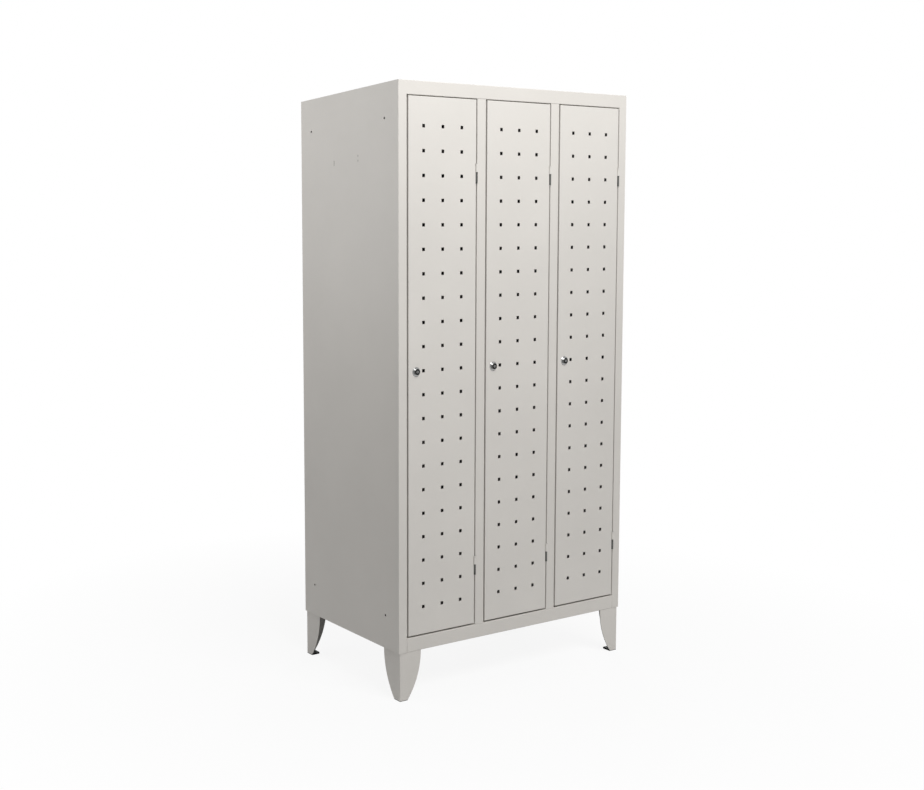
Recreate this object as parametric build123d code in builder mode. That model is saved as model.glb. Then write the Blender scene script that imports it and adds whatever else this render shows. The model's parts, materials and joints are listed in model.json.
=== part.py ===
from build123d import *
import os
from math import floor

# Three-door sheet steel locker on four legs, in millimetres.
# The origin is the middle of the footprint on the floor. +X is to the right of a person who
# faces the doors, +Y points to the back and +Z is up.

# Overall size
cabinet_width = 900.0
cabinet_depth = 500.0
body_height = 1655.0
leg_height = 145.0
door_count = 3

# Sheet steel
sheet = 1.0
bend_radius = 2.0
weld_flange = 15.0
side_flange_setback = 60.0

# Front frame
stile_width = 30.0
mullion_width = 33.0
top_rail_height = 40.0
bottom_rail_height = 42.0
stop_lip_width = 10.0

# Underside of the body, where the legs are bolted on, and holes to join cabinets
base_flange_width = 25.0
link_hole_diameter = 7.0
link_hole_front_distance = 65.0
link_hole_rear_distance = 58.0
link_hole_end_distance = 100.0

# Doors
door_thickness = 18.0
door_gap_lock = 5.0
door_gap_hinge = 4.0
door_gap_top = 2.5
door_gap_bottom = 5.0
door_stop_gap = 1.5
door_lip_width = 10.0
door_corner_radius = 1.5

# Square holes in the doors, and the plain border that they keep at least
hole_side = 10.0
hole_corner_radius = 0.8
hole_pitch = 70.0
hole_border_side = 50.0
hole_border_end = 60.0

# Hinges, measured down from the top of the body
upper_hinge_drop = 228.0
lower_hinge_drop = 1401.0
door_knuckle_radius = 4.75
door_knuckle_length = 24.0
frame_knuckle_radius = 3.0
frame_knuckle_length = 32.0
knuckle_end_gap = 0.3
knuckle_notch_clearance = 0.7
hinge_pin_radius = 2.0
hinge_pin_running_clearance = 0.05
hinge_pin_end_distance = 1.0
hinge_leaf_thickness = 1.2
hinge_leaf_depth = 14.0

# Cam locks
lock_edge_distance = 28.0
lock_drop = 2.0
lock_flange_radius = 14.0
lock_flange_thickness = 2.0
lock_flange_bevel = 1.2
lock_nose_radius = 8.9
lock_nose_length = 6.5
lock_nose_rim = 0.6
lock_nose_chamfer = 0.3
lock_body_radius = 8.0
lock_fit_clearance = 0.2
lock_ring_recess = 0.6
lock_ring_thickness = 1.2
lock_plug_radius = 4.0
lock_plug_clearance = 0.05
key_slot_width = 1.6
key_slot_length = 5.6
key_slot_depth = 9.0
lock_nut_across_flats = 22.0
lock_nut_thickness = 4.0
lock_washer_gap = 0.3
cam_thickness = 2.0
cam_width = 15.0
cam_lip_overlap = 7.0
cam_behind_lip = 0.6
cam_screw_radius = 4.5
cam_screw_thickness = 2.4
cam_screw_slot_width = 1.0
cam_screw_slot_depth = 1.2

# Inside of each compartment
shelf_drop = 195.0
shelf_flange = 28.0
shelf_hem = 12.0
shelf_front_distance = 60.0
shelf_rear_gap = 0.3
rail_tube_radius = 9.0
rail_tube_wall = 1.2
rail_below_shelf = 45.0
rail_end_gap = 0.2
socket_plate_radius = 18.0
socket_plate_thickness = 1.5
socket_cup_wall = 2.0
socket_cup_depth = 9.0
socket_clearance = 0.1

# Door buffers
buffer_radius = 2.5
buffer_thickness = 1.2
buffer_dome_radius = 0.4
buffer_end_distance = 45.0

# Legs
leg_side_inset = 4.5
leg_front_inset = 1.5
leg_sheet = 2.0
leg_bend_radius = 3.0
leg_top_width = 77.0
leg_bottom_width = 28.5
leg_plate_width = 60.5
leg_plate_corner = 20.0
leg_bolt_distance = 48.0
glide_width = 30.0
glide_sole = 1.5
glide_plug_height = 4.0
glide_fit_clearance = 0.2
glide_plug_corner = 2.0
glide_edge_bevel = 0.6

# Leg bolts
leg_bolt_radius = 3.0
leg_bolt_clearance = 0.25
leg_bolt_head_across_flats = 10.0
leg_bolt_head_height = 4.0
leg_bolt_overhang = 2.0
leg_nut_height = 5.0
leg_nut_thread_clearance = 0.05

# One overrun serves all cuts that pass through a face
overrun = 5.0

# Faces of the body
left = -cabinet_width / 2
right = cabinet_width / 2
front = -cabinet_depth / 2
back = cabinet_depth / 2
body_bottom = leg_height
body_top = leg_height + body_height

# The door openings between the stiles, the mullions and the rails
opening_width = (
    cabinet_width - 2 * stile_width - (door_count - 1) * mullion_width
) / door_count
opening_pitch = opening_width + mullion_width
opening_bottom = body_bottom + bottom_rail_height
opening_top = body_top - top_rail_height
first_opening_x = left + stile_width + opening_width / 2
opening_centres = [first_opening_x + opening_pitch * n for n in range(door_count)]
mullion_centres = [x + opening_pitch / 2 for x in opening_centres[:-1]]

# The stop lips behind the doors
stop_face = front + door_thickness + door_stop_gap
stop_back = stop_face + sheet
lip_bottom = opening_bottom + stop_lip_width
lip_top = opening_top - stop_lip_width

# The inside of the body
floor_top = lip_bottom
roof_underside = body_top - sheet
back_panel_face = back - 2 * sheet
partition_faces = [
    (left + sheet, mullion_centres[0] - sheet / 2),
    *[
        (mullion_centres[n] + sheet / 2, mullion_centres[n + 1] - sheet / 2)
        for n in range(door_count - 2)
    ],
    (mullion_centres[-1] + sheet / 2, right - sheet),
]

# The shelves and the clothes rails
shelf_top = body_top - shelf_drop
shelf_underside = shelf_top - shelf_flange
rail_z = shelf_underside - rail_below_shelf

# The doors
door_width = opening_width - door_gap_lock - door_gap_hinge
door_centres = [x + (door_gap_lock - door_gap_hinge) / 2 for x in opening_centres]
door_bottom = opening_bottom + door_gap_bottom
door_height = opening_top - door_gap_top - door_bottom
door_middle_z = door_bottom + door_height / 2
door_back = front + door_thickness
hole_columns = floor((door_width - 2 * hole_border_side) / hole_pitch) + 1
hole_rows = floor((door_height - 2 * hole_border_end) / hole_pitch) + 1

# The hinges. The pins stand in the front plane, in the middle of the gap beside each door
hinge_axes = [x + opening_width / 2 - door_gap_hinge / 2 for x in opening_centres]
hinge_tops = [body_top - upper_hinge_drop, body_top - lower_hinge_drop]
hinge_length = door_knuckle_length + knuckle_end_gap + frame_knuckle_length
hinge_leaf_reach = door_gap_hinge / 2 + sheet + hinge_leaf_thickness
hinge_pin_bore_radius = hinge_pin_radius + hinge_pin_running_clearance

# The locks
lock_axes = [x - door_width / 2 + lock_edge_distance for x in door_centres]
lock_z = door_middle_z - lock_drop
lock_face = front - lock_nose_length
cam_front = stop_back + cam_behind_lip
cam_back = cam_front + cam_thickness
cam_reach = lock_edge_distance + door_gap_lock - stop_lip_width + cam_lip_overlap
lock_body_back = cam_front - lock_washer_gap
lock_bore_radius = lock_plug_radius + lock_plug_clearance

# The legs stand a little inside the faces of the body
leg_side = left + leg_side_inset
leg_front = front + leg_front_inset
leg_bolt_places = [
    (left + sheet + base_flange_width / 2, leg_front + leg_bolt_distance),
    (leg_side + leg_bolt_distance, front + sheet + base_flange_width / 2),
]

os.makedirs("parts", exist_ok=True)


def write(piece, name):
    """Label a finished piece and write it to its own file."""
    piece.label = name
    export_step(piece, f"parts/{name}.step")


def facing_plane(y):
    """Plane parallel to the doors at a depth, seen from the front, with +X to the right."""
    return Plane(origin=(0, y, 0), x_dir=(1, 0, 0), z_dir=(0, -1, 0))


def folded(points, side):
    """Outline of a sheet that is folded along points on one of its faces."""
    with BuildSketch() as outline:
        with BuildLine():
            FilletPolyline(*points, radius=bend_radius)
            offset(amount=sheet, side=side)
        make_face()
    return outline.sketch


def block(low, high, mode=Mode.ADD):
    """Plain block between two corners, in the part that is being built."""
    size = [b - a for a, b in zip(low, high)]
    centre = [(a + b) / 2 for a, b in zip(low, high)]
    with Locations(Vector(*centre)):
        Box(*size, mode=mode)


def hinge_notch(axis_x, sign):
    """Cut room for the hinge knuckles into the edge of a door (-1) or of the frame (+1)."""
    for top in hinge_tops:
        split = top - door_knuckle_length - knuckle_end_gap
        for radius, low, high in (
            (door_knuckle_radius, split, top + knuckle_notch_clearance),
            (frame_knuckle_radius, top - hinge_length - knuckle_notch_clearance, split),
        ):
            reach = max(radius + knuckle_notch_clearance, hinge_leaf_reach)
            x_low, x_high = sorted((axis_x, axis_x + sign * reach))
            block(
                (x_low, front - overrun, low),
                (x_high, front + reach, high),
                mode=Mode.SUBTRACT,
            )


def side_panel(name, sign):
    """Side wall with its front stile, stop lip and rear flange in one sheet."""
    outer = sign * cabinet_width / 2
    edge = sign * (cabinet_width / 2 - stile_width)
    lip_end = edge - sign * stop_lip_width
    points = [
        (outer - sign * weld_flange, back),
        (outer, back),
        (outer, front),
        (edge, front),
        (edge, stop_face),
        (lip_end, stop_face),
    ]
    outline = folded(points, Side.LEFT if sign < 0 else Side.RIGHT)
    with BuildPart() as panel:
        with BuildSketch(Plane.XY.offset(body_bottom)):
            add(outline)
        extrude(amount=roof_underside - body_bottom)
        # The stop lip ends above the floor and below the top rail
        for low, high in ((body_bottom, lip_bottom), (lip_top, body_top)):
            xs = sorted((edge, lip_end - sign * overrun))
            block(
                (xs[0], stop_face - bend_radius, low),
                (xs[1], stop_face + overrun, high),
                mode=Mode.SUBTRACT,
            )
        # The bend of the stile ends below the top rail, which meets the stile flush
        xs = sorted((edge - sign * overrun, edge + sign * bend_radius))
        block(
            (xs[0], front - overrun, opening_top),
            (xs[1], stop_face + overrun, body_top),
            mode=Mode.SUBTRACT,
        )
        # Four holes that join the cabinet to its neighbour
        with BuildSketch(Plane.YZ.offset(outer)):
            with Locations(
                *[
                    (y, z)
                    for y in (front + link_hole_front_distance, back - link_hole_rear_distance)
                    for z in (body_bottom + link_hole_end_distance, body_top - link_hole_end_distance)
                ]
            ):
                Circle(link_hole_diameter / 2)
        extrude(amount=2 * sheet, both=True, mode=Mode.SUBTRACT)
        if sign > 0:
            hinge_notch(hinge_axes[-1], 1)
    write(panel.part, name)


def base_angle(name, sign):
    """Angle along the foot of a side wall, which the legs are bolted to."""
    corner = sign * (right - sheet)
    points = [
        (corner, body_bottom + weld_flange),
        (corner, body_bottom),
        (corner - sign * base_flange_width, body_bottom),
    ]
    outline = folded(points, Side.LEFT if sign < 0 else Side.RIGHT)
    with BuildPart() as angle:
        with BuildSketch(facing_plane(back_panel_face)):
            add(outline)
        extrude(amount=back_panel_face - front - bend_radius)
        with Locations(
            *[
                (-sign * leg_bolt_places[0][0], y, body_bottom)
                for y in (leg_bolt_places[0][1], -leg_bolt_places[0][1])
            ]
        ):
            Cylinder(leg_bolt_radius + leg_bolt_clearance, 2 * overrun, mode=Mode.SUBTRACT)
    write(angle.part, name)


def roof_panel():
    """Top sheet with the top rail, its stop lip, the rear flange and two side flanges."""
    points = [
        (stop_face, lip_top),
        (stop_face, opening_top),
        (front, opening_top),
        (front, body_top),
        (back, body_top),
        (back, body_top - weld_flange),
    ]
    outline = folded(points, Side.RIGHT)
    with BuildPart() as panel:
        with BuildSketch(Plane.YZ.offset(left)):
            add(outline)
        extrude(amount=cabinet_width)
        for sign in (-1, 1):
            # The rail fits between the stiles and the rear flange between the side walls
            for rail_end, low, high in (
                (right - stile_width, lip_top - overrun, opening_top),
                (right - stile_width + bend_radius, opening_top, roof_underside),
            ):
                xs = sorted((sign * rail_end, sign * (right + overrun)))
                block(
                    (xs[0], front - overrun, low),
                    (xs[1], stop_back + sheet, high),
                    mode=Mode.SUBTRACT,
                )
            xs = sorted((sign * (right - weld_flange), sign * (right + overrun)))
            block(
                (xs[0], back_panel_face, body_top - weld_flange - overrun),
                (xs[1], back + overrun, roof_underside),
                mode=Mode.SUBTRACT,
            )
            xs = sorted((sign * (right - sheet), sign * (right - 2 * sheet)))
            block(
                (xs[0], front + side_flange_setback, body_top - weld_flange),
                (xs[1], back - side_flange_setback, body_top - sheet / 2),
            )
    write(panel.part, "roof_panel")


def floor_panel():
    """Raised floor with the bottom rail in front, a rear skirt and base flanges."""
    points = [
        (front + sheet + base_flange_width, body_bottom),
        (front, body_bottom),
        (front, opening_bottom),
        (stop_face, opening_bottom),
        (stop_face, floor_top),
        (back_panel_face, floor_top),
        (back_panel_face, body_bottom),
        (back_panel_face - base_flange_width, body_bottom),
    ]
    floor_underside = floor_top - sheet
    outline = folded(points, Side.RIGHT)
    with BuildPart() as panel:
        with BuildSketch(Plane.YZ.offset(left + sheet)):
            add(outline)
        extrude(amount=cabinet_width - 2 * sheet)
        for sign in (-1, 1):
            # The rail and its base flange fit between the stiles
            xs = sorted((sign * (right - stile_width), sign * (right + overrun)))
            block(
                (xs[0], front - overrun, body_bottom - overrun),
                (xs[1], stop_back, floor_top + overrun),
                mode=Mode.SUBTRACT,
            )
            block(
                (xs[0], front - overrun, body_bottom - overrun),
                (xs[1], front + sheet + base_flange_width + overrun, opening_bottom),
                mode=Mode.SUBTRACT,
            )
            # The rear base flange stays clear of the angle along the side wall
            xs = sorted((sign * (right - sheet - base_flange_width), sign * (right + overrun)))
            block(
                (xs[0], back_panel_face - base_flange_width - overrun, body_bottom - overrun),
                (xs[1], back, body_bottom + weld_flange),
                mode=Mode.SUBTRACT,
            )
            # Side flanges that are welded to the side walls
            xs = sorted((sign * (right - sheet), sign * (right - 2 * sheet)))
            block(
                (xs[0], front + side_flange_setback, floor_top - weld_flange),
                (xs[1], back - side_flange_setback, floor_underside + sheet / 2),
            )
        with Locations(
            *[
                (x, y, body_bottom)
                for x in (leg_bolt_places[1][0], -leg_bolt_places[1][0])
                for y in (leg_bolt_places[1][1], -leg_bolt_places[1][1])
            ]
        ):
            Cylinder(leg_bolt_radius + leg_bolt_clearance, 2 * overrun, mode=Mode.SUBTRACT)
    write(panel.part, "floor_panel")


def back_panel():
    """Flat back sheet in front of the rear flanges of the side walls and the roof."""
    with BuildPart() as panel:
        block(
            (left + bend_radius, back_panel_face, body_bottom),
            (right - bend_radius, back_panel_face + sheet, body_top - bend_radius),
        )
    write(panel.part, "back_panel")


def mullion(name, centre, hinge_axis):
    """Upright between two doors, folded to a hat with a stop lip on each side."""
    half = mullion_width / 2
    points = [
        (centre - half - stop_lip_width, stop_face),
        (centre - half, stop_face),
        (centre - half, front),
        (centre + half, front),
        (centre + half, stop_face),
        (centre + half + stop_lip_width, stop_face),
    ]
    outline = folded(points, Side.LEFT)
    with BuildPart() as upright:
        with BuildSketch(Plane.XY.offset(opening_bottom)):
            add(outline)
        extrude(amount=opening_top - opening_bottom)
        for low, high in ((opening_bottom, lip_bottom), (lip_top, opening_top)):
            block(
                (centre - half - stop_lip_width - overrun, stop_face - bend_radius, low),
                (centre + half + stop_lip_width + overrun, stop_face + overrun, high),
                mode=Mode.SUBTRACT,
            )
        hinge_notch(hinge_axis, 1)
    write(upright.part, name)


def partition(name, centre):
    """Wall between two compartments, with a flange on the mullion and one on the back."""
    face = centre - sheet / 2
    points = [
        (face + weld_flange, front + sheet),
        (face, front + sheet),
        (face, back_panel_face),
        (face + weld_flange, back_panel_face),
    ]
    outline = folded(points, Side.RIGHT)
    with BuildPart() as wall:
        with BuildSketch(Plane.XY.offset(floor_top)):
            add(outline)
        extrude(amount=roof_underside - floor_top)
        # The front edge stops below the top rail
        block(
            (face - overrun, front, lip_top),
            (face + weld_flange + overrun, stop_back + sheet, body_top),
            mode=Mode.SUBTRACT,
        )
    write(wall.part, name)


def hat_shelf(name, low_x, high_x):
    """Shelf tray with a hemmed front edge and flanges on the two walls."""
    shelf_front = front + shelf_front_distance
    shelf_back = back_panel_face - bend_radius - shelf_rear_gap
    points = [
        (shelf_front + shelf_hem, shelf_underside),
        (shelf_front, shelf_underside),
        (shelf_front, shelf_top),
        (shelf_back, shelf_top),
        (shelf_back, shelf_underside),
    ]
    outline = folded(points, Side.RIGHT)
    with BuildPart() as tray:
        with BuildSketch(Plane.YZ.offset(low_x)):
            add(outline)
        extrude(amount=high_x - low_x)
        for x in (low_x, high_x - sheet):
            block(
                (x, shelf_front + bend_radius, shelf_underside),
                (x + sheet, shelf_back - bend_radius, shelf_top - sheet / 2),
            )
    write(tray.part, name)


def coat_rail(name, low_x, high_x):
    """Round clothes rail across a compartment."""
    end = socket_plate_thickness + rail_end_gap
    with BuildPart() as tube:
        with BuildSketch(Plane.YZ.offset(low_x + end)):
            with Locations((0, rail_z)):
                Circle(rail_tube_radius)
                Circle(rail_tube_radius - rail_tube_wall, mode=Mode.SUBTRACT)
        extrude(amount=high_x - low_x - 2 * end)
    write(tube.part, name)


def coat_rail_sockets():
    """Flanged cups that hold the ends of the clothes rails."""
    cup_radius = rail_tube_radius + socket_clearance
    with BuildPart() as sockets:
        for low_x, high_x in partition_faces:
            for x, sign in ((low_x, 1), (high_x, -1)):
                with BuildSketch(Plane.YZ.offset(x)):
                    with Locations((0, rail_z)):
                        Circle(socket_plate_radius)
                extrude(amount=sign * socket_plate_thickness)
                with BuildSketch(Plane.YZ.offset(x + sign * socket_plate_thickness)):
                    with Locations((0, rail_z)):
                        Circle(cup_radius + socket_cup_wall)
                        Circle(cup_radius, mode=Mode.SUBTRACT)
                extrude(amount=sign * socket_cup_depth)
    write(sockets.part, "coat_rail_sockets")


def door_panel(name, centre, hinge_axis, lock_x):
    """Door leaf: a pan with four folded edges, inner lips and rows of square holes."""
    low_x = centre - door_width / 2
    with BuildPart() as leaf:
        with BuildSketch(Plane.XY.offset(door_bottom)):
            with Locations((centre, front + door_thickness / 2)):
                Rectangle(door_width, door_thickness)
        extrude(amount=door_height)
        front_face = leaf.faces().sort_by(Axis.Y)[0]
        fillet(front_face.edges(), radius=door_corner_radius)
        block(
            (low_x + sheet, front + sheet, door_bottom + sheet),
            (low_x + door_width - sheet, door_back - sheet, door_bottom + door_height - sheet),
            mode=Mode.SUBTRACT,
        )
        with BuildSketch(Plane.XZ.offset(-door_back)):
            with Locations((centre, door_middle_z)):
                Rectangle(door_width - 2 * door_lip_width, door_height - 2 * door_lip_width)
        extrude(amount=2 * sheet, both=True, mode=Mode.SUBTRACT)
        with BuildSketch(Plane.XZ.offset(-front)):
            with Locations((centre, door_middle_z)):
                with GridLocations(hole_pitch, hole_pitch, hole_columns, hole_rows):
                    RectangleRounded(hole_side, hole_side, hole_corner_radius)
            with Locations((lock_x, lock_z)):
                Circle(lock_body_radius + lock_fit_clearance)
        extrude(amount=2 * sheet, both=True, mode=Mode.SUBTRACT)
        hinge_notch(hinge_axis, -1)
    write(leaf.part, name)


def hinge_half(axis_x, sign, radius, bore_radius, bottom, length):
    """Knuckle of one hinge half with its neck and its leaf behind the edge that carries it."""
    leaf_x = axis_x + sign * (hinge_leaf_reach - hinge_leaf_thickness / 2)
    leaf_y = front + hinge_leaf_depth / 2
    neck_x = axis_x + sign * hinge_leaf_reach / 2
    neck_y = front + hinge_leaf_thickness / 2
    with BuildPart() as half:
        with BuildSketch(Plane.XY.offset(bottom)):
            with Locations((axis_x, front)):
                Circle(radius)
            with Locations((neck_x, neck_y)):
                Rectangle(hinge_leaf_reach, hinge_leaf_thickness)
            with Locations((leaf_x, leaf_y)):
                Rectangle(hinge_leaf_thickness, hinge_leaf_depth)
            with Locations((axis_x, front)):
                Circle(bore_radius, mode=Mode.SUBTRACT)
        extrude(amount=length)
    return half.part


def frame_knuckles():
    """Lower half of every hinge, welded inside the frame."""
    pieces = [
        hinge_half(
            axis_x,
            1,
            frame_knuckle_radius,
            hinge_pin_radius,
            top - hinge_length,
            frame_knuckle_length,
        )
        for axis_x in hinge_axes
        for top in hinge_tops
    ]
    with BuildPart() as halves:
        add(pieces)
    write(halves.part, "frame_knuckles")


def door_knuckles(name, axis_x):
    """Upper half of the two hinges of a door."""
    pieces = [
        hinge_half(
            axis_x,
            -1,
            door_knuckle_radius,
            hinge_pin_bore_radius,
            top - door_knuckle_length,
            door_knuckle_length,
        )
        for top in hinge_tops
    ]
    with BuildPart() as halves:
        add(pieces)
    write(halves.part, name)


def hinge_pins():
    """Hinge pins, fixed in the lower knuckles."""
    length = hinge_length - 2 * hinge_pin_end_distance
    with BuildPart() as pins:
        for axis_x in hinge_axes:
            for top in hinge_tops:
                with BuildSketch(Plane.XY.offset(top - hinge_pin_end_distance)):
                    with Locations((axis_x, front)):
                        Circle(hinge_pin_radius)
                extrude(amount=-length)
    write(pins.part, "hinge_pins")


def lock_housing(name, x):
    """Chromed lock case: flange, nose in front of the door and body through it."""
    ring_back = lock_face + lock_ring_recess + lock_ring_thickness
    with BuildPart() as case:
        with BuildSketch(facing_plane(front)):
            with Locations((x, lock_z)):
                Circle(lock_flange_radius)
        extrude(amount=lock_flange_thickness)
        chamfer(
            case.edges().group_by(Axis.Y)[0].filter_by(GeomType.CIRCLE),
            length=lock_flange_bevel,
        )
        with BuildSketch(facing_plane(front)):
            with Locations((x, lock_z)):
                Circle(lock_nose_radius)
        extrude(amount=lock_nose_length)
        nose_rim = case.faces().sort_by(Axis.Y)[0].edges()
        chamfer(nose_rim, length=lock_nose_chamfer)
        with BuildSketch(facing_plane(lock_body_back)):
            with Locations((x, lock_z)):
                Circle(lock_body_radius)
        extrude(amount=lock_body_back - front)
        with BuildSketch(facing_plane(ring_back)):
            with Locations((x, lock_z)):
                Circle(lock_nose_radius - lock_nose_rim)
        extrude(amount=lock_nose_length, mode=Mode.SUBTRACT)
        with BuildSketch(facing_plane(lock_body_back)):
            with Locations((x, lock_z)):
                Circle(lock_bore_radius)
        extrude(amount=lock_body_back - lock_face, both=True, mode=Mode.SUBTRACT)
    write(case.part, name)


def lock_ring(name, x):
    """Black ring that fills the mouth of the lock around its plug."""
    with BuildPart() as ring:
        with BuildSketch(facing_plane(lock_face + lock_ring_recess + lock_ring_thickness)):
            with Locations((x, lock_z)):
                Circle(lock_nose_radius - lock_nose_rim)
                Circle(lock_bore_radius, mode=Mode.SUBTRACT)
        extrude(amount=lock_ring_thickness)
    write(ring.part, name)


def lock_nut(name, x):
    """Nut that clamps the lock behind the sheet of the door."""
    with BuildPart() as nut:
        with BuildSketch(facing_plane(front + sheet + lock_nut_thickness)):
            with Locations((x, lock_z)):
                RegularPolygon(lock_nut_across_flats / 2, 6, major_radius=False)
                Circle(lock_body_radius, mode=Mode.SUBTRACT)
        extrude(amount=lock_nut_thickness)
    write(nut.part, name)


def lock_plug(name, x):
    """Turning plug with a key slot in its face, in the bore of the lock case."""
    with BuildPart() as plug:
        with BuildSketch(facing_plane(cam_front)):
            with Locations((x, lock_z)):
                Circle(lock_plug_radius)
        extrude(amount=cam_front - lock_face)
        with BuildSketch(facing_plane(lock_face)):
            with Locations((x, lock_z)):
                Rectangle(key_slot_width, key_slot_length)
        extrude(amount=-key_slot_depth, mode=Mode.SUBTRACT)
    write(plug.part, name)


def lock_cam(name, x):
    """Cam on the back end of the plug. It hangs down when the door is unlocked."""
    with BuildPart() as cam:
        with BuildSketch(facing_plane(cam_back)):
            with Locations((x, lock_z)):
                Circle(cam_width / 2)
            with Locations((x, lock_z - (cam_reach - cam_width / 2) / 2)):
                Rectangle(cam_width, cam_reach - cam_width / 2)
            with Locations((x, lock_z - cam_reach + cam_width / 2)):
                Circle(cam_width / 2)
        extrude(amount=cam_thickness)
    write(cam.part, name)


def lock_cam_screw(name, x):
    """Slotted screw that holds the cam on the plug."""
    with BuildPart() as screw:
        with BuildSketch(facing_plane(cam_back + cam_screw_thickness)):
            with Locations((x, lock_z)):
                Circle(cam_screw_radius)
        extrude(amount=cam_screw_thickness)
        with BuildSketch(facing_plane(cam_back + cam_screw_thickness)):
            with Locations((x, lock_z)):
                Rectangle(2 * cam_screw_radius + overrun, cam_screw_slot_width)
        extrude(amount=cam_screw_slot_depth, mode=Mode.SUBTRACT)
    write(screw.part, name)


def door_buffers():
    """Rubber buffers on the stop lips at the lock side of the doors."""
    middle = (stop_lip_width + door_gap_lock) / 2
    with BuildPart() as buffers:
        for centre in opening_centres:
            for z in (lip_bottom + buffer_end_distance, lip_top - buffer_end_distance):
                with BuildSketch(facing_plane(stop_face)):
                    with Locations((centre - opening_width / 2 + middle, z)):
                        Circle(buffer_radius)
                extrude(amount=buffer_thickness)
        domes = buffers.edges().group_by(Axis.Y)[0].filter_by(GeomType.CIRCLE)
        fillet(domes, radius=buffer_dome_radius)
    write(buffers.part, "door_buffers")


def leg_outline(plane):
    """Face of a leg: straight on the outside and curved in towards the foot."""
    with BuildSketch(plane) as face:
        with BuildLine():
            Line((0, glide_sole), (0, body_bottom))
            Line((0, body_bottom), (leg_top_width, body_bottom))
            TangentArc(
                (leg_top_width, body_bottom),
                (leg_bottom_width, glide_sole),
                tangent=(0, -1),
            )
            Line((leg_bottom_width, glide_sole), (0, glide_sole))
        make_face()
    return face.sketch


def leg(name, mirror_x, mirror_y):
    """Corner leg of two curved faces with a plate on top for the bolts."""
    corner = (leg_side, leg_front, 0)
    front_plane = Plane(origin=corner, x_dir=(1, 0, 0), z_dir=(0, -1, 0))
    side_plane = Plane(origin=corner, x_dir=(0, 1, 0), z_dir=(1, 0, 0))
    front_outline = leg_outline(front_plane)
    side_outline = leg_outline(side_plane)
    with BuildPart() as post:
        extrude(front_outline, amount=-leg_sheet)
        extrude(side_outline, amount=leg_sheet)
        with BuildSketch(Plane.XY.offset(body_bottom)):
            with Locations((leg_side + leg_plate_width / 2, leg_front + leg_plate_width / 2)):
                Rectangle(leg_plate_width, leg_plate_width)
        extrude(amount=-leg_sheet)
        upright_edges = post.edges().filter_by(Axis.Z)
        plate_corner = upright_edges.sort_by(lambda e: e.center().X + e.center().Y)[-1]
        chamfer(plate_corner, length=leg_plate_corner)
        outer_edge = post.edges().filter_by(Axis.Z).sort_by(
            lambda e: e.center().X + e.center().Y
        )[0]
        fillet(outer_edge, radius=leg_bend_radius)
        with Locations(*[(x, y, body_bottom) for x, y in leg_bolt_places]):
            Cylinder(leg_bolt_radius + leg_bolt_clearance, 2 * overrun, mode=Mode.SUBTRACT)
        if mirror_x:
            mirror(about=Plane.YZ, mode=Mode.REPLACE)
        if mirror_y:
            mirror(about=Plane.XZ, mode=Mode.REPLACE)
    write(post.part, name)


def at_four_corners(first, name):
    """Repeat what belongs to the front left leg at all four legs."""
    with BuildPart() as group:
        add(first)
        mirror(about=Plane.YZ)
        mirror(about=Plane.XZ)
    write(group.part, name)


def foot_glide():
    """Plastic foot under a leg: a sole and a plug in the corner of the leg."""
    plug_start = leg_sheet + glide_fit_clearance
    plug_width = glide_width - plug_start
    plug_middle = plug_start + plug_width / 2
    with BuildPart() as glide:
        with BuildSketch():
            with Locations((leg_side + glide_width / 2, leg_front + glide_width / 2)):
                RectangleRounded(glide_width, glide_width, leg_bend_radius)
        extrude(amount=glide_sole)
        with BuildSketch(Plane.XY.offset(glide_sole)):
            with Locations((leg_side + plug_middle, leg_front + plug_middle)):
                RectangleRounded(plug_width, plug_width, glide_plug_corner)
        extrude(amount=glide_plug_height)
        chamfer(glide.edges().group_by(Axis.Z)[-1], length=glide_edge_bevel)
    return glide.part


def leg_bolt():
    """Hexagon bolts of one leg, from below through the plate and the base flange."""
    head_top = body_bottom - leg_sheet
    shank_top = body_bottom + sheet + leg_nut_height + leg_bolt_overhang
    with BuildPart() as bolts:
        with BuildSketch(Plane.XY.offset(head_top - leg_bolt_head_height)):
            with Locations(*leg_bolt_places):
                RegularPolygon(leg_bolt_head_across_flats / 2, 6, major_radius=False)
        extrude(amount=leg_bolt_head_height)
        with BuildSketch(Plane.XY.offset(head_top)):
            with Locations(*leg_bolt_places):
                Circle(leg_bolt_radius)
        extrude(amount=shank_top - head_top)
    return bolts.part


def leg_nut():
    """Nuts on top of the base flange."""
    with BuildPart() as nuts:
        with BuildSketch(Plane.XY.offset(body_bottom + sheet)):
            with Locations(*leg_bolt_places):
                RegularPolygon(leg_bolt_head_across_flats / 2, 6, major_radius=False)
                Circle(leg_bolt_radius + leg_nut_thread_clearance, mode=Mode.SUBTRACT)
        extrude(amount=leg_nut_height)
    return nuts.part


# The cabinet
side_panel("side_panel_left", -1)
side_panel("side_panel_right", 1)
base_angle("base_angle_left", -1)
base_angle("base_angle_right", 1)
roof_panel()
floor_panel()
back_panel()
for number, centre in enumerate(mullion_centres, start=1):
    mullion(f"mullion_{number}", centre, hinge_axes[number - 1])
    partition(f"partition_{number}", centre)
for number, (low_x, high_x) in enumerate(partition_faces, start=1):
    hat_shelf(f"hat_shelf_{number}", low_x, high_x)
    coat_rail(f"coat_rail_{number}", low_x, high_x)
coat_rail_sockets()
frame_knuckles()
hinge_pins()
door_buffers()

# The legs
leg("leg_front_left", False, False)
leg("leg_front_right", True, False)
leg("leg_rear_left", False, True)
leg("leg_rear_right", True, True)
at_four_corners(foot_glide(), "foot_glides")
at_four_corners(leg_bolt(), "leg_bolts")
at_four_corners(leg_nut(), "leg_nuts")

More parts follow.
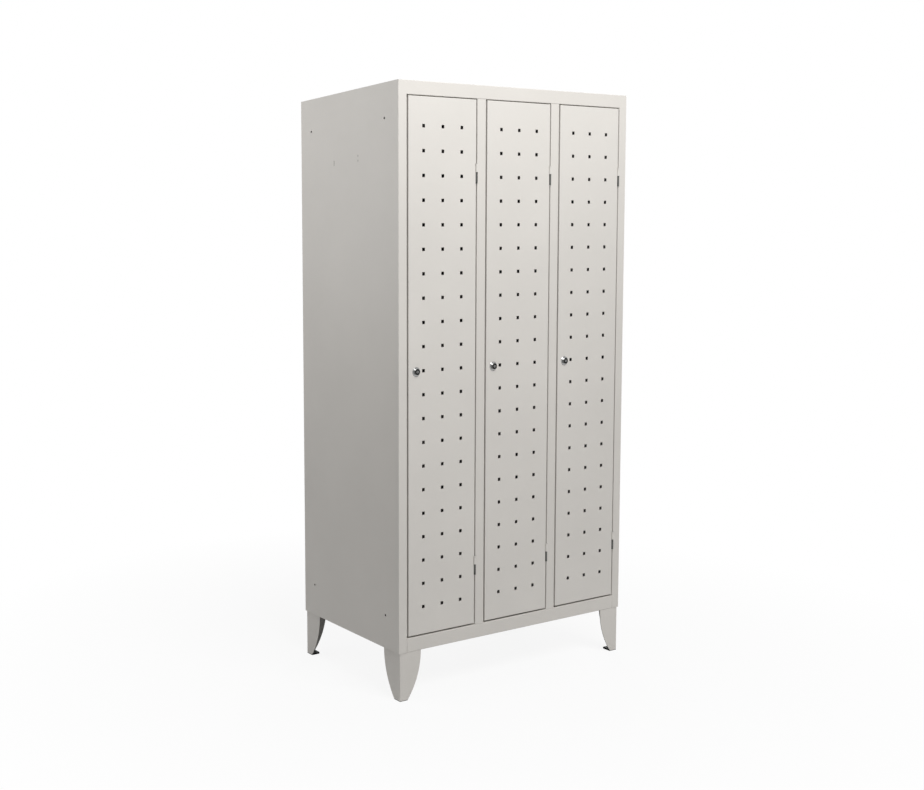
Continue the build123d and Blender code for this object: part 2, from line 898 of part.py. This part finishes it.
# The doors and their locks
for number, centre in enumerate(door_centres, start=1):
    lock_x = lock_axes[number - 1]
    door_panel(f"door_{number}_panel", centre, hinge_axes[number - 1], lock_x)
    door_knuckles(f"door_{number}_knuckles", hinge_axes[number - 1])
    lock_housing(f"lock_{number}_housing", lock_x)
    lock_ring(f"lock_{number}_ring", lock_x)
    lock_nut(f"lock_{number}_nut", lock_x)
    lock_plug(f"lock_{number}_plug", lock_x)
    lock_cam(f"lock_{number}_cam", lock_x)
    lock_cam_screw(f"lock_{number}_cam_screw", lock_x)
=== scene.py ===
import bpy
import json
import math
from mathutils import Matrix, Vector

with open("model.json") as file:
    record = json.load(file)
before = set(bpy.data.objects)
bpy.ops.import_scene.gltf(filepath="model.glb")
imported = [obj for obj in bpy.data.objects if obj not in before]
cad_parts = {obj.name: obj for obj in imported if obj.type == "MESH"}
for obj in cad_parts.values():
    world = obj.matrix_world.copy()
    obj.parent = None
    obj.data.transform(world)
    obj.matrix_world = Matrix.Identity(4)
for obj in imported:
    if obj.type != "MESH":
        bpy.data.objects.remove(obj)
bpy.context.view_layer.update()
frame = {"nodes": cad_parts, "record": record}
scene = bpy.context.scene
nodes = frame["nodes"]

# Places and lengths are in metres, angles in degrees, lens and sensor in millimetres and lamps
# in watts. Colours are linear. The scale of a noise is in cells per metre.

# Camera, where the photograph was taken from
CAMERA_PLACE = Vector((-2.4757, -2.8713, 1.3066))
CAMERA_YAW = 27.983
CAMERA_PITCH = 5.234
CAMERA_ROLL = 0.971
CAMERA_LENS = 44.673
CAMERA_SENSOR = 36
CAMERA_SHIFT = (0.28, -0.033)
CAMERA_CLIP = (0.05, 60)

# Nearly all of a noise lies between these values
NOISE_LOW, NOISE_HIGH = 0.3, 0.7

# Sockets of a Mix node that take and give colours
MIX_FIRST, MIX_SECOND, MIX_RESULT = 6, 7, 2

WHITE = (1, 1, 1)
BODY_COLOUR = (0.622, 0.597, 0.560)
DOOR_COLOUR = (0.630, 0.606, 0.570)
SPECK_COLOUR = (0.965, 0.965, 0.965)
# Painted shade on the faces inside the legs, from its dark to its light tone
INSIDE_SHADE_DARK = (0.2, 0.2, 0.2)
INSIDE_SHADE_LIGHT = (0.34, 0.34, 0.33)

# Spot weld marks on the outside of the walls, as (distance from the middle, height)
WELD_MARKS = (
    (0.067, 1.597),
    (0.067, 1.592),
    (0.067, 1.587),
    (-0.0565, 1.6045),
    (-0.0565, 1.590),
)
WELD_MARK_RADIUS = 0.004
WELD_MARK_BOTTOM = 0.4 * WELD_MARK_RADIUS
WELD_MARK_DEPTH = 0.0006
WELD_MARK_TINT = (0.68, 0.68, 0.67)

# The rim of a lock case is painted black, a painted dark reflection, as far back as the front of
# the ring in its mouth, and turns into chrome over the depth of the edge
LOCK_RIM_BACK = min(vertex.co.y for vertex in nodes["lock_1_ring"].data.vertices)
LOCK_RIM_EDGE = 0.00005
LOCK_RIM_PAINTED_DARK = (0.012, 0.012, 0.012)

# Floor: grey for the light that falls on it, and nearly white for the camera. It is fully white
# from the far distance on, measured from the middle of the object.
FLOOR_RADIUS = 9
FLOOR_CORNERS = 96
FLOOR_COLOUR = (0.74, 0.74, 0.74)
FLOOR_WHITE_NEAR = 0.90
FLOOR_WHITE_FAR = 1.0
FLOOR_NEAR = 0.6
FLOOR_FAR = 1.8


def make_camera():
    """Camera from its place, its yaw to the right, its pitch down and its roll."""
    yaw, pitch, roll = (math.radians(a) for a in (CAMERA_YAW, CAMERA_PITCH, CAMERA_ROLL))
    ahead = Vector((
        math.sin(yaw) * math.cos(pitch),
        math.cos(yaw) * math.cos(pitch),
        -math.sin(pitch),
    ))
    right = Vector((math.cos(yaw), -math.sin(yaw), 0))
    up = right.cross(ahead)
    turned_right = math.cos(roll) * right - math.sin(roll) * up
    turned_up = math.sin(roll) * right + math.cos(roll) * up
    data = bpy.data.cameras.new("camera")
    data.sensor_width = CAMERA_SENSOR
    data.lens = CAMERA_LENS
    data.shift_x, data.shift_y = CAMERA_SHIFT
    data.clip_start, data.clip_end = CAMERA_CLIP
    camera = bpy.data.objects.new("camera", data)
    scene.collection.objects.link(camera)
    turn = Matrix((turned_right, turned_up, -ahead)).transposed().to_4x4()
    camera.matrix_world = Matrix.Translation(CAMERA_PLACE) @ turn
    scene.camera = camera


class Shader:
    """Short hand for a material's nodes and links."""

    def __init__(self, name):
        self.material = bpy.data.materials.new(name)
        self.material.use_nodes = True
        self.tree = self.material.node_tree
        self.tree.nodes.clear()
        self.output = self.add("ShaderNodeOutputMaterial")

    def add(self, kind, **values):
        node = self.tree.nodes.new(kind)
        for key, value in values.items():
            setattr(node, key, value)
        return node

    def link(self, source, target):
        self.tree.links.new(source, target)

    def feed(self, value, socket):
        """Give a socket its value, which is a number or another socket."""
        if hasattr(value, "links"):
            self.link(value, socket)
        else:
            socket.default_value = value

    def principled(self, metallic=0.0):
        surface = self.add("ShaderNodeBsdfPrincipled")
        surface.inputs["Metallic"].default_value = metallic
        self.link(surface.outputs["BSDF"], self.output.inputs["Surface"])
        return surface

    def place(self):
        return self.add("ShaderNodeTexCoord").outputs["Object"]

    def split_place(self):
        """Place as an output for each axis."""
        split = self.add("ShaderNodeSeparateXYZ")
        self.link(self.place(), split.inputs["Vector"])
        return split.outputs

    def noise(self, scale, detail, roughness=0.5, stretch=None):
        texture = self.add("ShaderNodeTexNoise")
        texture.inputs["Scale"].default_value = scale
        texture.inputs["Detail"].default_value = detail
        texture.inputs["Roughness"].default_value = roughness
        place = self.place()
        if stretch:
            mapping = self.add("ShaderNodeMapping")
            mapping.inputs["Scale"].default_value = stretch
            self.link(place, mapping.inputs["Vector"])
            place = mapping.outputs["Vector"]
        self.link(place, texture.inputs["Vector"])
        return texture.outputs["Fac"]

    def spread(self, value, low, high, start=NOISE_LOW, end=NOISE_HIGH):
        """Map a value from start..end to low..high."""
        node = self.add("ShaderNodeMapRange")
        node.inputs["From Min"].default_value = start
        node.inputs["From Max"].default_value = end
        node.inputs["To Min"].default_value = low
        node.inputs["To Max"].default_value = high
        self.link(value, node.inputs["Value"])
        return node.outputs["Result"]

    def math(self, operation, *values):
        node = self.add("ShaderNodeMath", operation=operation)
        for value, socket in zip(values, node.inputs):
            self.feed(value, socket)
        return node.outputs["Value"]

    def ramp(self, value, first, last, start=NOISE_LOW, end=NOISE_HIGH):
        """Colour that goes from first at start to last at end."""
        node = self.add("ShaderNodeValToRGB")
        stops = ((start, first), (end, last))
        for point, (place, colour) in zip(node.color_ramp.elements, stops):
            point.position = place
            point.color = (*colour, 1)
        self.link(value, node.inputs["Fac"])
        return node.outputs["Color"]

    def multiply(self, colour, tint, share=1.0):
        """Colour times tint, by a share that is a number or a socket."""
        node = self.add("ShaderNodeMix", data_type="RGBA", blend_type="MULTIPLY")
        self.feed(share, node.inputs["Factor"])
        self.link(colour, node.inputs[MIX_FIRST])
        self.link(tint, node.inputs[MIX_SECOND])
        return node.outputs[MIX_RESULT]

    def bump(self, height, distance, strength, under=None):
        """Normal of a surface with this height on it, on top of the normal of another bump."""
        node = self.add("ShaderNodeBump")
        node.inputs["Distance"].default_value = distance
        node.inputs["Strength"].default_value = strength
        self.link(height, node.inputs["Height"])
        if under is not None:
            self.link(under, node.inputs["Normal"])
        return node.outputs["Normal"]


def scaled(colour, factor):
    return tuple(part * factor for part in colour)


def weld_marks(shader):
    """Depth of the shallow dimples that spot welding left, 0 on the plain sheet and 1 in them."""
    place = shader.split_place()
    total = None
    for y, z in WELD_MARKS:
        away_y = shader.math("SUBTRACT", place["Y"], y)
        away_z = shader.math("SUBTRACT", place["Z"], z)
        square_y = shader.math("MULTIPLY", away_y, away_y)
        square_z = shader.math("MULTIPLY", away_z, away_z)
        distance = shader.math("SQRT", shader.math("ADD", square_y, square_z))
        dip = shader.spread(distance, low=1, high=0, start=WELD_MARK_BOTTOM, end=WELD_MARK_RADIUS)
        total = dip if total is None else shader.math("MAXIMUM", total, dip)
    return total


def inward(shader):
    """1 on faces that look towards the upright axis of the cabinet, 0 on those that look away; it
    places the painted shade inside the legs.
    """
    flat = shader.add("ShaderNodeVectorMath", operation="MULTIPLY")
    shader.link(shader.place(), flat.inputs[0])
    flat.inputs[1].default_value = (-1, -1, 0)
    towards = shader.add("ShaderNodeVectorMath", operation="NORMALIZE")
    shader.link(flat.outputs["Vector"], towards.inputs[0])
    facing = shader.add("ShaderNodeVectorMath", operation="DOT_PRODUCT")
    shader.link(shader.add("ShaderNodeNewGeometry").outputs["True Normal"], facing.inputs[0])
    shader.link(towards.outputs["Vector"], facing.inputs[1])
    return shader.spread(facing.outputs["Value"], low=0, high=1, start=0.15, end=0.3)


def paint(name, colour, marks=False, painted_inner_shade=False):
    """Satin powder coat: faint shade drift, fine orange peel and slightly uneven gloss.

    With marks it dips and darkens at the spot welds. The inner shade flag paints dark shade on
    the faces that look inwards.
    """
    shader = Shader(name)
    surface = shader.principled()
    drift = shader.noise(scale=3.5, detail=3)
    tint = shader.ramp(drift, scaled(colour, 0.975), scaled(colour, 1.02))
    grit = shader.noise(scale=900, detail=1)
    speck = shader.ramp(grit, SPECK_COLOUR, WHITE, start=0.35, end=0.65)
    coat = shader.multiply(tint, speck)
    # Painted shade: the faces that look inwards are painted dark with a cloudy dark tone
    if painted_inner_shade:
        steel = shader.ramp(shader.noise(scale=60, detail=4), INSIDE_SHADE_DARK, INSIDE_SHADE_LIGHT)
        coat = shader.multiply(coat, steel, share=inward(shader))
    gloss = shader.spread(shader.noise(scale=40, detail=4), low=0.36, high=0.46)
    peel = shader.noise(scale=420, detail=2)
    relief = shader.bump(peel, distance=0.00006, strength=0.6)
    wave = shader.noise(scale=5, detail=1)
    relief = shader.bump(wave, distance=0.0016, strength=0.25, under=relief)
    if marks:
        dips = weld_marks(shader)
        coat = shader.multiply(coat, shader.ramp(dips, WHITE, WELD_MARK_TINT, start=0, end=1))
        relief = shader.bump(dips, distance=-WELD_MARK_DEPTH, strength=0.9, under=relief)
    shader.link(coat, surface.inputs["Base Color"])
    shader.link(gloss, surface.inputs["Roughness"])
    shader.link(relief, surface.inputs["Normal"])
    return shader.material


def chrome(name, level, low, high, painted_dark_rim=False):
    """Polished plating with a gloss that fine handling marks have worn unevenly.

    The roughness lies between low and high. The rim flag paints the front rim of the lock case
    black, a painted dark reflection.
    """
    shader = Shader(name)
    surface = shader.principled(metallic=1.0)
    plating = (level, level, level * 0.99)
    # Painted dark reflection on the front rim of the lock case
    if painted_dark_rim:
        behind = shader.spread(
            shader.split_place()["Y"],
            low=0,
            high=1,
            start=LOCK_RIM_BACK - LOCK_RIM_EDGE,
            end=LOCK_RIM_BACK,
        )
        shader.link(
            shader.ramp(behind, LOCK_RIM_PAINTED_DARK, plating, start=0, end=1),
            surface.inputs["Base Color"],
        )
    else:
        surface.inputs["Base Color"].default_value = (*plating, 1)
    gloss = shader.spread(shader.noise(scale=260, detail=3), low, high)
    shader.link(gloss, surface.inputs["Roughness"])
    marks = shader.bump(shader.noise(scale=180, detail=2), distance=0.00002, strength=0.4)
    shader.link(marks, surface.inputs["Normal"])
    return shader.material


def metal(name, colour, low, high, grain=(1, 1, 1)):
    """Bare or plated steel with drawn lines along the axis that has the small scale in grain.

    The roughness lies between low and high.
    """
    shader = Shader(name)
    surface = shader.principled(metallic=1.0)
    cloud = shader.noise(scale=90, detail=4, roughness=0.6)
    shade = shader.ramp(cloud, scaled(colour, 0.86), scaled(colour, 1.08))
    lines = shader.noise(scale=500, detail=3, roughness=0.6, stretch=grain)
    shader.link(shade, surface.inputs["Base Color"])
    shader.link(shader.spread(lines, low, high), surface.inputs["Roughness"])
    shader.link(shader.bump(lines, distance=0.00003, strength=0.5), surface.inputs["Normal"])
    return shader.material


def plain(name, colour, low, high, grain_size, shine=0.25):
    """Moulded plastic or rubber with a fine eroded grain and a roughness from low to high."""
    shader = Shader(name)
    surface = shader.principled()
    surface.inputs["Specular IOR Level"].default_value = shine
    cloud = shader.noise(scale=60, detail=3)
    shade = shader.ramp(cloud, scaled(colour, 0.8), scaled(colour, 1.25))
    grain = shader.noise(scale=grain_size, detail=3)
    shader.link(shade, surface.inputs["Base Color"])
    shader.link(shader.spread(grain, low, high), surface.inputs["Roughness"])
    shader.link(shader.bump(grain, distance=0.00005, strength=0.6), surface.inputs["Normal"])
    return shader.material


materials = {
    "cabinet_paint": paint("cabinet_paint", BODY_COLOUR),
    "door_paint": paint("door_paint", DOOR_COLOUR),
    # Lock cases with a painted dark reflection on their front rim
    "chrome": chrome("chrome", level=0.34, low=0.05, high=0.12, painted_dark_rim=True),
    "zinc": metal("zinc", colour=(0.55, 0.56, 0.57), low=0.32, high=0.5),
    "rail_steel": metal(
        "rail_steel", colour=(0.62, 0.62, 0.62), low=0.18, high=0.32, grain=(0.05, 1, 1)
    ),
    "hinge_steel": metal(
        "hinge_steel", colour=(0.11, 0.11, 0.105), low=0.4, high=0.6, grain=(1, 1, 0.1)
    ),
    "black_plastic": plain(
        "black_plastic", colour=(0.006, 0.006, 0.006), low=0.5, high=0.65, grain_size=700, shine=0.1
    ),
    "buffer_rubber": plain(
        "buffer_rubber", colour=(0.10, 0.10, 0.10), low=0.7, high=0.85, grain_size=900
    ),
}
wall_paint = paint("wall_paint", BODY_COLOUR, marks=True)
# Leg paint with painted shade on the faces inside the legs
leg_paint = paint("leg_paint", BODY_COLOUR, painted_inner_shade=True)
plug_metal = chrome("plug_metal", level=0.24, low=0.12, high=0.25)


def material_of(part):
    """Material of a sub-part: the one of its slot, or a variant of it for a few pieces."""
    name, slot = part["node"], part["material_slot"]
    if name.startswith("side_panel"):
        return wall_paint
    if name.startswith("leg_") and slot == "cabinet_paint":
        return leg_paint
    if name.endswith("_plug"):
        return plug_metal
    return materials[slot]


def dress():
    """Give every node of the frame its material."""
    for part in frame["record"]["subparts"]:
        slots = nodes[part["node"]].data.materials
        slots.clear()
        slots.append(material_of(part))


def seen_directly(tree):
    """1 for what the camera sees, also in a mirror or through glass, 0 for other light."""
    path = tree.nodes.new("ShaderNodeLightPath")
    share = path.outputs["Is Camera Ray"]
    for ray in ("Is Glossy Ray", "Is Transmission Ray"):
        either = tree.nodes.new("ShaderNodeMath")
        either.operation = "MAXIMUM"
        tree.links.new(share, either.inputs[0])
        tree.links.new(path.outputs[ray], either.inputs[1])
        share = either.outputs["Value"]
    return share


def floor():
    """Pale floor that fades into the white surroundings and keeps the shadow."""
    bpy.ops.mesh.primitive_circle_add(
        vertices=FLOOR_CORNERS, radius=FLOOR_RADIUS, fill_type="TRIFAN"
    )
    disc = bpy.context.object
    disc.name = "floor"
    shader = Shader("floor")
    matt = shader.add("ShaderNodeBsdfDiffuse")
    matt.inputs["Color"].default_value = (*FLOOR_COLOUR, 1)
    glow = shader.add("ShaderNodeEmission")
    distance = shader.add("ShaderNodeVectorMath", operation="LENGTH")
    shader.link(shader.place(), distance.inputs[0])
    white = shader.spread(
        distance.outputs["Value"],
        low=FLOOR_WHITE_NEAR,
        high=FLOOR_WHITE_FAR,
        start=FLOOR_NEAR,
        end=FLOOR_FAR,
    )
    mix = shader.add("ShaderNodeMixShader")
    shader.link(shader.math("MULTIPLY", seen_directly(shader.tree), white), mix.inputs["Fac"])
    shader.link(matt.outputs["BSDF"], mix.inputs[1])
    shader.link(glow.outputs["Emission"], mix.inputs[2])
    shader.link(mix.outputs["Shader"], shader.output.inputs["Surface"])
    disc.data.materials.append(shader.material)


def surroundings(level):
    """White for what looks at it directly, and a plain level of light for the rest."""
    world = bpy.data.worlds.new("surroundings")
    scene.world = world
    world.use_nodes = True
    tree = world.node_tree
    tree.nodes.clear()
    output = tree.nodes.new("ShaderNodeOutputWorld")
    seen = tree.nodes.new("ShaderNodeBackground")
    light = tree.nodes.new("ShaderNodeBackground")
    for background, strength in ((seen, 1.0), (light, level)):
        background.inputs["Color"].default_value = (*WHITE, 1)
        background.inputs["Strength"].default_value = strength
    mix = tree.nodes.new("ShaderNodeMixShader")
    tree.links.new(seen_directly(tree), mix.inputs["Fac"])
    tree.links.new(light.outputs["Background"], mix.inputs[1])
    tree.links.new(seen.outputs["Background"], mix.inputs[2])
    tree.links.new(mix.outputs["Shader"], output.inputs["Surface"])


def lamp(name, place, target, size, energy):
    """Soft rectangular lamp that faces a point."""
    data = bpy.data.lights.new(name, "AREA")
    data.shape = "RECTANGLE"
    data.size, data.size_y = size
    data.energy = energy
    light = bpy.data.objects.new(name, data)
    scene.collection.objects.link(light)
    light.location = place
    towards = Vector(target) - Vector(place)
    light.rotation_mode = "QUATERNION"
    light.rotation_quaternion = towards.to_track_quat("-Z", "Y")


def lamps():
    """Main lamp above the front, a weak one beside the left wall and one behind on the right."""
    lamp(
        "front_lamp", place=(-0.25, -2.4, 3.45), target=(0, 0, 1.95), size=(2.4, 1.4), energy=121
    )
    lamp(
        "side_lamp", place=(-1.55, 0.5, 1.86), target=(-0.2, 0, 1.66), size=(1.8, 1.4), energy=10.5
    )
    lamp("back_lamp", place=(2.4, 2.6, 1.3), target=(0, 0.1, 1), size=(1.8, 1.4), energy=60)


make_camera()
dress()
floor()
surroundings(level=0.16)
lamps()

scene.view_settings.view_transform = "Standard"
